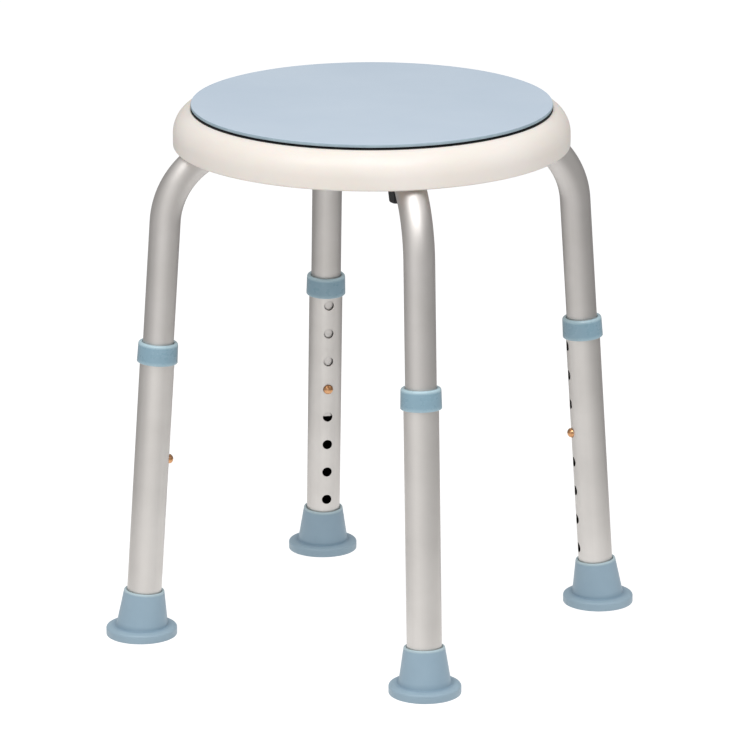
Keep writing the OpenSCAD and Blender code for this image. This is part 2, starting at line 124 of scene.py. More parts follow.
def newObject(name, data):
    thing = bpy.data.objects.new(name, data)
    bpy.context.scene.collection.objects.link(thing)
    return thing


def arc(x, z, rx, rz, start, end, steps):
    # points along part of an ellipse, between two angles in degrees
    turns = [math.radians(start + (end - start) * i / steps) for i in range(steps + 1)]
    return [(x + rx * math.cos(t), z + rz * math.sin(t)) for t in turns]


def meshFrom(name, points, faces):
    mesh = bpy.data.meshes.new(name)
    mesh.from_pydata([tuple(p) for p in points], [], faces)
    mesh.update()
    return mesh


def lathe(name, outline, turns, closed=True, shape=None):
    # outline is (radius, height) pairs, anticlockwise; a radius of nought becomes a pole
    points, rings = [], []
    for r, z in outline:
        if r < same:
            rings.append([len(points)] * turns)
            points.append(Vector((0, 0, z)))
            continue
        rings.append(list(range(len(points), len(points) + turns)))
        for i in range(turns):
            a = 2 * math.pi * i / turns
            reach = shape(r, z, a) if shape else r
            points.append(Vector((reach * math.cos(a), reach * math.sin(a), z)))
    faces = []
    last = len(rings) if closed else len(rings) - 1
    for k in range(last):
        low, high = rings[k], rings[(k + 1) % len(rings)]
        if low[0] == low[1] and high[0] == high[1]:
            continue
        for i in range(turns):
            j = (i + 1) % turns
            face = [low[i], low[j], high[j], high[i]]
            faces.append([v for n, v in enumerate(face) if v != face[n - 1]])
    return meshFrom(name, points, faces)


def tidyMesh(mesh, sharp=35):
    bm = bmesh.new()
    bm.from_mesh(mesh)
    bmesh.ops.remove_doubles(bm, verts=bm.verts, dist=same)
    bmesh.ops.recalc_face_normals(bm, faces=bm.faces)
    bm.to_mesh(mesh)
    bm.free()
    mesh.shade_smooth()
    mesh.set_sharp_from_angle(angle=math.radians(sharp))
    return mesh


def ringPlace(mesh):
    # keeps each point's own place on its tube, so that the drawn finish follows the tube
    layer = mesh.attributes.new("ringPlace", "FLOAT_VECTOR", "POINT")
    for vertex, item in zip(mesh.vertices, layer.data):
        item.vector = vertex.co


def toneEdges(mesh, toneAt):
    # painted light and shade: one where a thin lip is painted lighter, minus one where a crease is painted darker,
    # nought elsewhere
    layer = mesh.attributes.new("edgeTone", "FLOAT", "POINT")
    for vertex, item in zip(mesh.vertices, layer.data):
        item.value = toneAt(math.hypot(vertex.co.x, vertex.co.y), vertex.co.z)


def place(name, mesh, matrix, body, slot, *stands, finish=None):
    # one piece of the stool: it rides on a body and stands for nodes of the solids
    piece = newObject(name, mesh)
    mesh.transform(matrix)
    mesh.materials.clear()
    mesh.materials.append(finish or materials[slot])
    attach(piece, body)
    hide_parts(*stands)
    return piece


def paintBoreShade(piece, wallR, material):
    # the tube's inside, and the walls of its holes, get the dark bore colour, which is painted shade
    piece.data.materials.append(material)
    spots = piece.data.attributes["ringPlace"].data
    for face in piece.data.polygons:
        if min(math.hypot(*spots[v].vector[:2]) for v in face.vertices) < wallR:
            face.material_index = 1


outOfTube = Matrix.Rotation(-math.pi / 2, 4, "Y")   # turns up into toward the stool's axis


def toLeg(leg):
    return Matrix.Rotation(legTurns[leg], 4, "Z")


def upLeg(s):
    # stands things made up the Z axis on the slope of a leg at +X, s up from its sole
    return (Matrix.Translation((footX, 0, 0)) @ Matrix.Rotation(-splay, 4, "Y")
            @ Matrix.Translation((0, 0, s)))


def onLegAxis(leg, s):
    return toLeg(leg) @ upLeg(s)


def throughTree(tree, base, inputs):
    # runs a Geometry Nodes tree on a mesh and gives back a plain mesh
    carrier = newObject("carrier", base)
    modifier = carrier.modifiers.new("build", "NODES")
    modifier.node_group = tree
    sockets = {i.name: i.identifier for i in tree.interface.items_tree if i.in_out == "INPUT"}
    for name, value in inputs.items():
        modifier[sockets[name]] = value
    carrier.update_tag()
    bpy.context.view_layer.update()
    depsgraph = bpy.context.evaluated_depsgraph_get()
    mesh = bpy.data.meshes.new_from_object(carrier.evaluated_get(depsgraph))
    carrier.modifiers.remove(modifier)
    bpy.data.objects.remove(carrier)
    return mesh


def newTree(name, inputs):
    # every tree takes a mesh and its finish, and its own named inputs between them
    tree = bpy.data.node_groups.new(name, "GeometryNodeTree")
    for label, kind in {"Geometry": "Geometry", **inputs, "Finish": "Material"}.items():
        tree.interface.new_socket(label, in_out="INPUT", socket_type="NodeSocket" + kind)
    tree.interface.new_socket("Geometry", in_out="OUTPUT", socket_type="NodeSocketGeometry")
    return tree, addNode(tree, "NodeGroupInput")


def finishTree(tree, given, geometry):
    # every tree ends in real, dressed geometry
    real = addNode(tree, "GeometryNodeRealizeInstances", {"Geometry": geometry})
    dressed = addNode(tree, "GeometryNodeSetMaterial",
                      {"Geometry": real.outputs["Geometry"], "Material": given.outputs["Finish"]})
    addNode(tree, "NodeGroupOutput", {"Geometry": dressed.outputs["Geometry"]})
    return tree


def newMaterial(name):
    material = bpy.data.materials.new(name)
    material.use_nodes = True
    material.node_tree.nodes.clear()
    return material, material.node_tree


def finishMaterial(material, surface):
    addNode(material.node_tree, "ShaderNodeOutputMaterial", {"Surface": surface.outputs[0]})
    return material


def cloud(tree, where, size, detail, rough=0.5):
    # noise whose spots have a size in metres
    return addNode(tree, "ShaderNodeTexNoise", {
        "Vector": where, "Scale": 1 / size, "Detail": detail, "Roughness": rough}).outputs["Fac"]


def ranged(tree, value, low, high):
    # most of a cloud's values lie between 0.3 and 0.7
    return addNode(tree, "ShaderNodeMapRange", {
        "Value": value, "From Min": 0.3, "From Max": 0.7, "To Min": low, "To Max": high}
    ).outputs["Result"]


def grainBump(tree, where, size, strength, depth):
    # a moulded or cast grain, given the size of one pit in metres
    return addNode(tree, "ShaderNodeBump", {
        "Height": cloud(tree, where, size, 3, rough=0.6), "Strength": strength, "Distance": depth})


def tintedBy(tree, where, size, low, high):
    # drifts between two colours over patches of a size in metres
    ramp = addNode(tree, "ShaderNodeValToRGB", {"Fac": cloud(tree, where, size, 4)})
    for stop, position, colour in zip(ramp.color_ramp.elements, (0.35, 0.65), (low, high)):
        stop.position, stop.color = position, srgb(colour)
    return ramp.outputs["Color"]


def roughBy(tree, where, size, low, high):
    return ranged(tree, cloud(tree, where, size, 5), low, high)


def edgePaintedLightAndShade(tree, colour, lip, crease):
    # painted highlight on thin lips, which are painted a little lighter, and painted shade in creases, which are
    # painted a little darker
    tone = addNode(tree, "ShaderNodeAttribute", attribute_name="edgeTone").outputs["Fac"]
    hollow = mathNode(tree, "MULTIPLY", tone, -1)
    for share, tint in ((tone, lip), (hollow, crease)):
        colour = addNode(tree, "ShaderNodeMix", {0: share, 6: colour, 7: srgb(tint)},
                         data_type="RGBA").outputs[2]
    return colour


mouldedLook = {"bump": 0.35, "shinePatches": 3, "coatRough": 0.14, "scatter": 2 * mm}


def moulded(name, low, high, rough, grain, depth, patch=60 * mm, coat=0.0, sheen=0.0, ior=1.5,
            subsurface=0.0, edges=None):
    # a plastic, rubber or foam; its shine drifts over smaller patches than its colour does; edges, when given, are
    # a painted highlight colour for lips and a painted shade colour for creases
    look = mouldedLook
    material, tree = newMaterial(name)
    where = addNode(tree, "ShaderNodeTexCoord").outputs["Object"]
    colour = tintedBy(tree, where, patch, low, high)
    return finishMaterial(material, addNode(tree, "ShaderNodeBsdfPrincipled", {
        "Base Color": edgePaintedLightAndShade(tree, colour, *edges) if edges else colour,
        "Roughness": roughBy(tree, where, patch / look["shinePatches"], *rough),
        "Normal": grainBump(tree, where, grain, look["bump"], depth).outputs["Normal"],
        "IOR": ior,
        "Coat Weight": coat,
        "Coat Roughness": look["coatRough"],
        "Sheen Weight": sheen,
        "Subsurface Weight": subsurface,
        "Subsurface Scale": look["scatter"],
    }))


drawnLook = {
    "rough": (0.42, 0.5), "patch": 50 * mm,
    "lineWidth": 0.9 * mm, "lineLength": 120 * mm,   # real lines are finer than they can show
    "lineBump": 0.12, "lineDeep": 0.02 * mm,
    "etchSize": 0.6 * mm, "etchBump": 0.1, "etchDeep": 0.01 * mm,
}


def anodisedAluminium(name, low, high):
    # drawn tube, etched and anodised: fine lines run along it and blur what it reflects
    look = drawnLook
    material, tree = newMaterial(name)
    where = addNode(tree, "ShaderNodeAttribute", attribute_name="ringPlace").outputs["Vector"]
    drawn = addNode(tree, "ShaderNodeMapping",
                    {"Vector": where, "Scale": (1, 1, look["lineWidth"] / look["lineLength"])})
    lines = cloud(tree, drawn.outputs["Vector"], look["lineWidth"], 3)
    bump = addNode(tree, "ShaderNodeBump", {
        "Height": lines, "Strength": look["lineBump"], "Distance": look["lineDeep"]})
    etched = grainBump(tree, where, look["etchSize"], look["etchBump"], look["etchDeep"])
    tree.links.new(bump.outputs["Normal"], etched.inputs["Normal"])
    return finishMaterial(material, addNode(tree, "ShaderNodeBsdfPrincipled", {
        "Base Color": tintedBy(tree, where, look["patch"], low, high),
        "Metallic": 1.0,
        "Roughness": ranged(tree, lines, *look["rough"]),
        "Normal": etched.outputs["Normal"],
    }))


metalLook = {"bump": 0.15, "deep": 0.02 * mm, "patch": 4 * mm, "shinePatch": 2 * mm}


def metal(name, low, high, rough, scratch):
    look = metalLook
    material, tree = newMaterial(name)
    where = addNode(tree, "ShaderNodeTexCoord").outputs["Object"]
    return finishMaterial(material, addNode(tree, "ShaderNodeBsdfPrincipled", {
        "Base Color": tintedBy(tree, where, look["patch"], low, high),
        "Metallic": 1.0,
        "Roughness": roughBy(tree, where, look["shinePatch"], *rough),
        "Normal": grainBump(tree, where, scratch, look["bump"], look["deep"]).outputs["Normal"],
    }))


materials = {
    # blow-moulded seat: warm white, satin, a faint cloudiness and a very fine grain
    "seat_plastic": moulded("moulded-polyethylene", "#F0E8DF", "#F5EEE7", (0.3, 0.42),
                            1.4 * mm, 0.03 * mm, patch=90 * mm, subsurface=0.12),
    # closed-cell foam with a pressed skin: soft, no gloss, tiny dimples
    "pad_foam": moulded("pressed-eva-foam", "#B9C9D9", "#BFCEDD", (0.62, 0.75),
                        1.1 * mm, 0.06 * mm, patch=120 * mm, sheen=0.15, ior=1.45),
    "plate_plastic": moulded("black-abs", "#0C0D0E", "#121314", (0.5, 0.65), 1 * mm, 0.04 * mm),
    # collars are hard nylon with a soft shine, feet are matt rubber; the two edge colours of each are a painted
    # highlight on its lips and painted shade in its creases
    "collar_plastic": moulded("moulded-nylon", "#88AABB", "#8CADBE", (0.24, 0.34),
                              0.9 * mm, 0.015 * mm, patch=20 * mm, coat=0.6,
                              edges=("#B4D0DB", "#7C9DAF")),
    "foot_rubber": moulded("moulded-rubber", "#94ADBE", "#9AB3C3", (0.4, 0.52),
                           0.9 * mm, 0.04 * mm, patch=30 * mm, sheen=0.1,
                           edges=("#B6CBD3", "#7F9AAD")),
    "glide_plastic": moulded("natural-acetal", "#E6E5E0", "#EDECE8", (0.3, 0.4), 1 * mm, 0.02 * mm),
    "black_plastic": moulded("black-nylon", "#101112", "#17181A", (0.4, 0.55), 0.8 * mm, 0.03 * mm),
    "tube_aluminium": anodisedAluminium("anodised-aluminium", "#CAC6C2", "#D2CECB"),
    "button_brass": metal("turned-brass", "#C99468", "#DBAA80", (0.12, 0.2), 0.4 * mm),
    "spring_steel": metal("rolled-spring-steel", "#9B9C9D", "#A9AAAB", (0.25, 0.4), 0.5 * mm),
    "zinc_steel": metal("zinc-plated-steel", "#B4B7BA", "#C3C5C6", (0.3, 0.45), 0.6 * mm),
}
# painted light: the lower tubes get a lighter copy of the same anodised colour than the bent ones
lighterPaintedAluminium = anodisedAluminium("anodised-aluminium-painted-lighter", "#D2CECA", "#DAD6D2")
# the pad's cut side shows the open cells, rougher than the pressed skin; its darker colour is painted shade
cutFoam = moulded("cut-eva-edge", "#96ABB7", "#A3B7C1", (0.75, 0.85),
                  0.7 * mm, 0.12 * mm, patch=10 * mm, ior=1.4)
# painted shade: the bores get a dark, dull colour, so the adjusting holes look dark
paintedShadeBore = metal("bore-painted-dark", "#2E2C2A", "#3A3836", (0.6, 0.8), 0.8 * mm)
slotOf = {s["node"]: s["material_slot"] for s in frame["record"]["subparts"]}
for name, node in frame["nodes"].items():   # the solids that stay in view get their finish
    node.data.materials.clear()
    node.data.materials.append(materials[slotOf[name]])
print("materials made")


shellSizes = {
    "skirt": 10 * mm, "shoulderHigh": 21 * mm, "shoulderWide": 18 * mm, "lip": 15 * mm,
    "wall": 3.2 * mm, "deck": 25 * mm, "deckThick": 3.5 * mm, "lowEdge": 1.5 * mm,
    "lipEdge": 1 * mm, "coveEdge": 2 * mm, "grooveOut": 130.1 * mm, "grooveIn": 117.9 * mm,
    "grooveDeep": 1 * mm, "boreR": 6.15 * mm, "bossR": 15 * mm, "bossHigh": 6.5 * mm, "turns": 256,
}


def shellMesh():
    s = shellSizes
    shoulderR = seatR - s["shoulderWide"]
    recessR = seatR - s["lip"]
    crownIn = s["shoulderWide"] - s["lip"] + s["lipEdge"]
    lipTurn = math.degrees(math.acos(crownIn / s["shoulderWide"]))
    outside = arc(shoulderR, s["skirt"], s["shoulderWide"], s["shoulderHigh"], 0, lipTurn, 36)
    crownZ = outside[-1][1]
    skinW, skinH = s["shoulderWide"] - s["wall"], s["shoulderHigh"] - s["wall"]
    ceiling = s["deck"] - s["deckThick"]
    ceilingTurn = math.degrees(math.asin((ceiling - s["skirt"]) / skinH))
    outline = (
        arc(seatR - s["lowEdge"], s["lowEdge"], s["lowEdge"], s["lowEdge"], -90, 0, 8)
        + outside
        + arc(recessR + s["lipEdge"], crownZ - s["lipEdge"], s["lipEdge"], s["lipEdge"], 90, 180, 8)
        + arc(recessR - s["coveEdge"], s["deck"] + s["coveEdge"], s["coveEdge"], s["coveEdge"],
              0, -90, 6)
        + [(s["grooveOut"], s["deck"]), (s["grooveOut"], s["deck"] - s["grooveDeep"]),
           (s["grooveIn"], s["deck"] - s["grooveDeep"]), (s["grooveIn"], s["deck"]),
           (s["boreR"], s["deck"]), (s["boreR"], ceiling - s["bossHigh"]),
           (s["bossR"], ceiling - s["bossHigh"]), (s["bossR"], ceiling)]
        + arc(shoulderR, s["skirt"], skinW, skinH, ceilingTurn, 0, 16)
        + [(seatR - s["wall"], s["lowEdge"] / 2), (seatR - s["wall"] + s["lowEdge"] / 2, 0)]
    )
    return tidyMesh(lathe("seatShell", outline, s["turns"]))


place("seatShell", shellMesh(), Matrix.Translation((0, 0, seatLow.z)), "frame",
      "seat_plastic", "seat_shell")
print("seat shell made")

ribSizes = {
    "thick": 2.5 * mm, "high": 9 * mm, "from": 30 * mm, "to": 157.4 * mm, "lean": 3.9 * mm,
    "ring": 70 * mm, "ringSteps": 24, "ringEnd": 15 * mm,
    "turns": (27, 45, 63),   # degrees from each leg round to the next
}


def ribTree():
    # stands one rib at every point of a mesh, its outer end sloped like the rim's inside
    tree, given = newTree("ribsUnderSeat",
                          {"Long": "Float", "Thick": "Float", "High": "Float", "Lean": "Float"})
    size = addNode(tree, "ShaderNodeCombineXYZ",
                   {"X": given.outputs["Long"], "Y": given.outputs["Thick"],
                    "Z": given.outputs["High"]})
    block = addNode(tree, "GeometryNodeMeshCube", {"Size": size.outputs["Vector"]})
    corner = addNode(tree, "ShaderNodeSeparateXYZ",
                     {"Vector": addNode(tree, "GeometryNodeInputPosition").outputs["Position"]})
    outer = mathNode(tree, "GREATER_THAN", corner.outputs["X"], 0)
    lower = mathNode(tree, "LESS_THAN", corner.outputs["Z"], 0)
    both = mathNode(tree, "MULTIPLY", outer, lower)
    reach = mathNode(tree, "MULTIPLY", both, given.outputs["Lean"])
    shift = addNode(tree, "ShaderNodeCombineXYZ", {"X": reach})
    rib = addNode(tree, "GeometryNodeSetPosition",
                  {"Geometry": block.outputs["Mesh"], "Offset": shift.outputs["Vector"]})
    where = addNode(tree, "GeometryNodeInputPosition")
    facing = addNode(tree, "FunctionNodeAlignRotationToVector",
                     {"Vector": where.outputs["Position"]}, axis="X", pivot_axis="Z")
    stood = addNode(tree, "GeometryNodeInstanceOnPoints",
                    {"Points": given.outputs["Geometry"], "Instance": rib.outputs["Geometry"],
                     "Rotation": facing.outputs["Rotation"]})
    return finishTree(tree, given, stood.outputs["Instances"])


ceilingZ = seatLow.z + shellSizes["deck"] - shellSizes["deckThick"]
inDeck = shellSizes["deckThick"] / 2   # ribs, ring and blocks run this far into the deck
ribMiddle = (ribSizes["from"] + ribSizes["to"]) / 2
ribPoints = []
for turn in legTurns.values():
    for extra in ribSizes["turns"]:
        angle = turn + math.radians(extra)
        ribPoints.append((ribMiddle * math.cos(angle), ribMiddle * math.sin(angle), 0))
ribs = throughTree(ribTree(), meshFrom("ribPlaces", ribPoints, []), {
    "Long": ribSizes["to"] - ribSizes["from"], "Thick": ribSizes["thick"],
    "High": ribSizes["high"] + inDeck, "Lean": ribSizes["lean"],
    "Finish": materials["seat_plastic"]})
ribLift = ceilingZ + (inDeck - ribSizes["high"]) / 2
place("shellRibs", tidyMesh(ribs), Matrix.Translation((0, 0, ribLift)), "frame",
      "seat_plastic", "seat_shell")


def ringMesh():
    # a round rib in four pieces, each of which ends inside the blocks that hold the tubes
    s = ribSizes
    rings = (s["ring"], s["ring"] + s["thick"])
    corners = list(zip(rings + rings[::-1], (-s["high"], -s["high"], inDeck, inDeck)))
    points, faces = [], []
    for turn in legTurns.values():
        start = turn + math.asin(s["ringEnd"] / rings[0])
        step = (math.pi / 2 - 2 * (start - turn)) / s["ringSteps"]
        first = len(points)
        for i in range(s["ringSteps"] + 1):
            a = start + step * i
            points += [(r * math.cos(a), r * math.sin(a), z) for r, z in corners]
        for i in range(s["ringSteps"]):
            k = first + 4 * i
            faces += [[k + n, k + (n + 1) % 4, k + 4 + (n + 1) % 4, k + 4 + n] for n in range(4)]
        last = first + 4 * s["ringSteps"]
        faces += [[first + n for n in (3, 2, 1, 0)], [last + n for n in range(4)]]
    return tidyMesh(meshFrom("ribRing", points, faces))


place("ribRing", ringMesh(), Matrix.Translation((0, 0, ceilingZ)), "frame",
      "seat_plastic", "seat_shell")

blockSizes = {"wall": 4.3 * mm, "pastTube": 4 * mm, "pastBolt": 10 * mm, "gap": 0.05 * mm,
              "steps": 24}


def blockMesh():
    # a block whose underside is a half-round channel that the tube lies in
    b = blockSizes
    halfWide, r = upperR + b["wall"], upperR + b["gap"]
    top = ceilingZ + inDeck - armZ
    channel = arc(0, 0, r, r, 0, 180, b["steps"])
    section = [(halfWide, 0), (halfWide, top), (-halfWide, top), (-halfWide, 0)] + channel[::-1]
    ends = (armStart - b["pastTube"], boltX + b["pastBolt"])
    points = [(x, y, armZ + z) for x in ends for y, z in section]
    n = len(section)
    faces = [[i, (i + 1) % n, n + (i + 1) % n, n + i] for i in range(n)]
    # the two ends are strips from the channel out to the block's outline
    for k in (0, n):
        rim = [k + i for i in range(4, n)]
        half = len(rim) // 2
        faces += [[k + 3] + rim[:half + 1] + [k + 2], [k + 2, rim[half], k + 1],
                  [k + 1] + rim[half:] + [k]]
    return meshFrom("armBlock", points, faces)


for leg in legTurns:
    place("armBlock_" + leg, tidyMesh(blockMesh()), toLeg(leg), "frame",
          "seat_plastic", "seat_shell")
print("underside made")

plateSizes = {"rimThick": 1.6 * mm, "webThick": 3.1 * mm, "edge": 0.6 * mm, "rimWide": 4 * mm,
              "hubR": 18 * mm, "ridgeIn": 119 * mm, "ridgeOut": 129 * mm, "boreR": 4.05 * mm,
              "pocketR": 7.61 * mm, "pocketDeep": 4.6 * mm, "turns": 252}


def plateMesh():
    # a disc with a hub below, and a bore and a six-sided pocket for the pivot bolt
    p = plateSizes
    webZ = plateHigh.z - p["webThick"]
    rimTop = webZ + p["rimThick"]
    recessR = seatR - shellSizes["lip"]
    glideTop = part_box("glide_ring")[1].z
    outer = plateHigh.x
    pocketZ = plateHigh.z - p["pocketDeep"]
    outline = (
        [(p["boreR"], plateLow.z), (p["hubR"], plateLow.z), (p["hubR"], webZ), (p["ridgeIn"], webZ),
         (p["ridgeIn"], glideTop), (p["ridgeOut"], glideTop), (p["ridgeOut"], webZ)]
        + arc(outer - p["edge"], webZ + p["edge"], p["edge"], p["edge"], -90, 0, 5)
        + arc(outer - p["edge"], rimTop - p["edge"], p["edge"], p["edge"], 0, 90, 5)
        + [(recessR - p["rimWide"], rimTop), (recessR - p["rimWide"], plateHigh.z),
           (p["pocketR"], plateHigh.z), (p["pocketR"], pocketZ), (p["boreR"], pocketZ)]
    )

    def sixSided(r, z, a):
        flat = math.pi / 6   # from a corner to the middle of a flat
        return r * math.cos(flat) / math.cos(a % (2 * flat) - flat) if r == p["pocketR"] else r

    return tidyMesh(lathe("swivelPlate", outline, p["turns"], shape=sixSided))


place("swivelPlate", plateMesh(), Matrix.Identity(4), "seat_top", "plate_plastic", "swivel_plate")

padSizes = {"topEdge": 0.45 * mm, "lowEdge": 0.3 * mm, "bulge": 0.2 * mm, "bulgeSteps": 6,
            "sag": 0.35 * mm, "wander": 0.05 * mm, "cutIn": 0.15 * mm, "cutFade": 12,
            "turns": 288, "topRings": 60, "cutTilt": 0.75}   # cut faces look up less than this


def padMesh():
    # a foam disc: rounded edges, a side that bulges a little, and a top that dips where one sits
    p = padSizes
    r, low, high = padHigh.x, padLow.z, padHigh.z
    side = r - p["bulge"]
    top, bottom = high - p["topEdge"], low + p["lowEdge"]
    steps = p["bulgeSteps"]
    bulge = [(side + p["bulge"] * math.sin(math.pi * i / steps),
              bottom + (top - bottom) * i / steps) for i in range(1, steps)]
    dip = []
    flatR = side - p["topEdge"]
    for i in range(1, p["topRings"]):
        share = 1 - i / p["topRings"]
        dip.append((flatR * share, high - p["sag"] * (1 - share ** 4) ** 2))
    outline = (
        [(0, low), (side * 0.5, low)]
        + arc(side - p["lowEdge"], bottom, p["lowEdge"], p["lowEdge"], -90, 0, 5)
        + bulge
        + arc(side - p["topEdge"], top, p["topEdge"], p["topEdge"], 0, 90, 8)
        + dip + [(0, high - p["sag"])]
    )

    def cutEdge(reach, z, a):
        # a die-cut edge wanders by a tenth of a millimetre, and the fade keeps that to the edge
        wander = p["wander"] * (math.sin(3 * a + 0.7) + math.sin(7 * a + 2.1) + math.sin(11 * a))
        return reach + (wander - p["cutIn"]) * (reach / r) ** p["cutFade"]

    return tidyMesh(lathe("foamPad", outline, p["turns"], closed=False, shape=cutEdge), 50)


foamPad = place("foamPad", padMesh(), Matrix.Identity(4), "seat_top", "pad_foam", "seat_pad")
foamPad.data.materials.append(cutFoam)
for face in foamPad.data.polygons:   # the die-cut side has no pressed skin
    aboveBase = face.center.z > padLow.z + padSizes["lowEdge"] / 2
    if aboveBase and face.normal.z < padSizes["cutTilt"]:
        face.material_index = 1
print("plate and pad made")


upperSizes = {"around": 96, "bendSteps": 48, "buttonHole": 4.15 * mm, "boltHole": 3.3 * mm,
              "drillTurns": 64}


def stored(tree, geometry, name, value, kind="FLOAT_VECTOR"):
    return addNode(tree, "GeometryNodeStoreNamedAttribute",
                   {"Geometry": geometry, "Name": name, "Value": value},
                   data_type=kind, domain="POINT").outputs["Geometry"]


def sweepTree():
    # sweeps a ring along a path with one rounded corner, and keeps each point's place on the tube
    tree, given = newTree("sweptTube", {"Bend Radius": "Float", "Bend Steps": "Int",
                                        "Tube Radius": "Float", "Around": "Int"})
    path = addNode(tree, "GeometryNodeMeshToCurve", {"Mesh": given.outputs["Geometry"]})
    bent = addNode(tree, "GeometryNodeFilletCurve",
                   {"Curve": path.outputs["Curve"], "Count": given.outputs["Bend Steps"],
                    "Radius": given.outputs["Bend Radius"]}, mode="POLY")
    length = addNode(tree, "GeometryNodeSplineParameter")
    marked = stored(tree, bent.outputs["Curve"], "along", length.outputs["Length"], "FLOAT")
    ring = addNode(tree, "GeometryNodeCurvePrimitiveCircle",
                   {"Resolution": given.outputs["Around"], "Radius": given.outputs["Tube Radius"]})
    where = addNode(tree, "GeometryNodeInputPosition")
    ringMarked = stored(tree, ring.outputs["Curve"], "round", where.outputs["Position"])
    swept = addNode(tree, "GeometryNodeCurveToMesh", {"Curve": marked, "Profile Curve": ringMarked})
    along = addNode(tree, "GeometryNodeInputNamedAttribute", {"Name": "along"}, data_type="FLOAT")
    around = addNode(tree, "GeometryNodeInputNamedAttribute", {"Name": "round"},
                     data_type="FLOAT_VECTOR")
    split = addNode(tree, "ShaderNodeSeparateXYZ", {"Vector": around.outputs["Attribute"]})
    joined = addNode(tree, "ShaderNodeCombineXYZ",
                     {"X": split.outputs["X"], "Y": split.outputs["Y"],
                      "Z": along.outputs["Attribute"]})
    kept = stored(tree, swept.outputs["Mesh"], "ringPlace", joined.outputs["Vector"])
    return finishTree(tree, given, kept)


def drilled(mesh, toHole, r, reach, run):
    # makes one round hole up the Z of toHole, in a tube that runs the way of run
    old = KDTree(len(mesh.vertices))
    for i, vertex in enumerate(mesh.vertices):
        old.insert(vertex.co, i)
    old.balance()
    spots = [item.vector.copy() for item in mesh.attributes["ringPlace"].data]
    drill = lathe("drill", [(0, 0), (r, 0), (r, reach), (0, reach)],
                  upperSizes["drillTurns"], closed=False)
    drill.transform(toHole)
    pair = [newObject(m.name, m) for m in (mesh, drill)]
    cut = pair[0].modifiers.new("drill", "BOOLEAN")
    cut.operation, cut.solver, cut.object = "DIFFERENCE", "EXACT", pair[1]
    graph = bpy.context.evaluated_depsgraph_get()
    made = bpy.data.meshes.new_from_object(pair[0].evaluated_get(graph))
    for thing in pair:
        bpy.data.objects.remove(thing)
    for vertex, item in zip(made.vertices, made.attributes["ringPlace"].data):
        spot, i = old.find(vertex.co)[:2]   # a new point takes its place on the tube from there
        x, y, along = spots[i]
        item.vector = (x, y, along + (vertex.co - spot).dot(run))
    return made


def upperTubeMesh(tree):
    # one wall, outside and inside, whose open ends are then closed to each other
    tail = legSizes["buttonAt"] - legSizes["tubeTail"]
    cornerX = footX - armZ * math.tan(splay)
    foot = (footX - tail * math.sin(splay), 0, tail * math.cos(splay))
    path = [(armStart, 0, armZ), (cornerX, 0, armZ), foot]
    walls = bmesh.new()
    for inset in (0, legSizes["upperWall"]):
        line = bpy.data.meshes.new("tubePath")
        line.from_pydata(path, [(0, 1), (1, 2)], [])
        walls.from_mesh(throughTree(tree, line, {
            "Bend Radius": legSizes["bendRadius"], "Bend Steps": upperSizes["bendSteps"],
            "Tube Radius": upperR - inset, "Around": upperSizes["around"],
            "Finish": materials["tube_aluminium"]}))
    walls.verts.index_update()
    walls.verts.ensure_lookup_table()
    inner = len(walls.verts) // 2   # both walls have the same points in the same order
    for rim in [e for e in walls.edges if e.is_boundary and e.verts[0].index < inner]:
        a, b = rim.verts
        walls.faces.new((a, b, walls.verts[b.index + inner], walls.verts[a.index + inner]))
    mesh = bpy.data.meshes.new("upperTube")
    walls.to_mesh(mesh)
    walls.free()
    toButton = upLeg(legSizes["buttonAt"]) @ outOfTube
    toBolt = Matrix.Translation((boltX, 0, armZ - 2 * upperR))
    downLeg = Vector((math.sin(splay), 0, -math.cos(splay)))
    tidyMesh(mesh)
    mesh = drilled(mesh, toButton, upperSizes["buttonHole"], 2 * upperR, downLeg)
    mesh = drilled(mesh, toBolt, upperSizes["boltHole"], 4 * upperR, Vector((1, 0, 0)))
    return tidyMesh(mesh)


tubeTree = sweepTree()
for leg in legTurns:
    tube = place("upperTube_" + leg, upperTubeMesh(tubeTree), toLeg(leg), "frame",
                 "tube_aluminium", "leg_upper_" + leg)
    paintBoreShade(tube, upperR - legSizes["upperWall"] / 2, paintedShadeBore)
print("upper tubes made")

cellSizes = {
    "holeR": 4.15 * mm, "bevel": 0.25 * mm, "bevelDeep": 0.2 * mm,
    "patch": 6.2 * mm,   # half of a square patch round the hole
    "side": 8,   # faces along each of its sides, and then the rings in it
    "loops": (0, 0.2, 0.4, 0.65, 1),
    "rest": 56,   # faces round the rest of the tube
    "weld": 0.001 * mm,
}


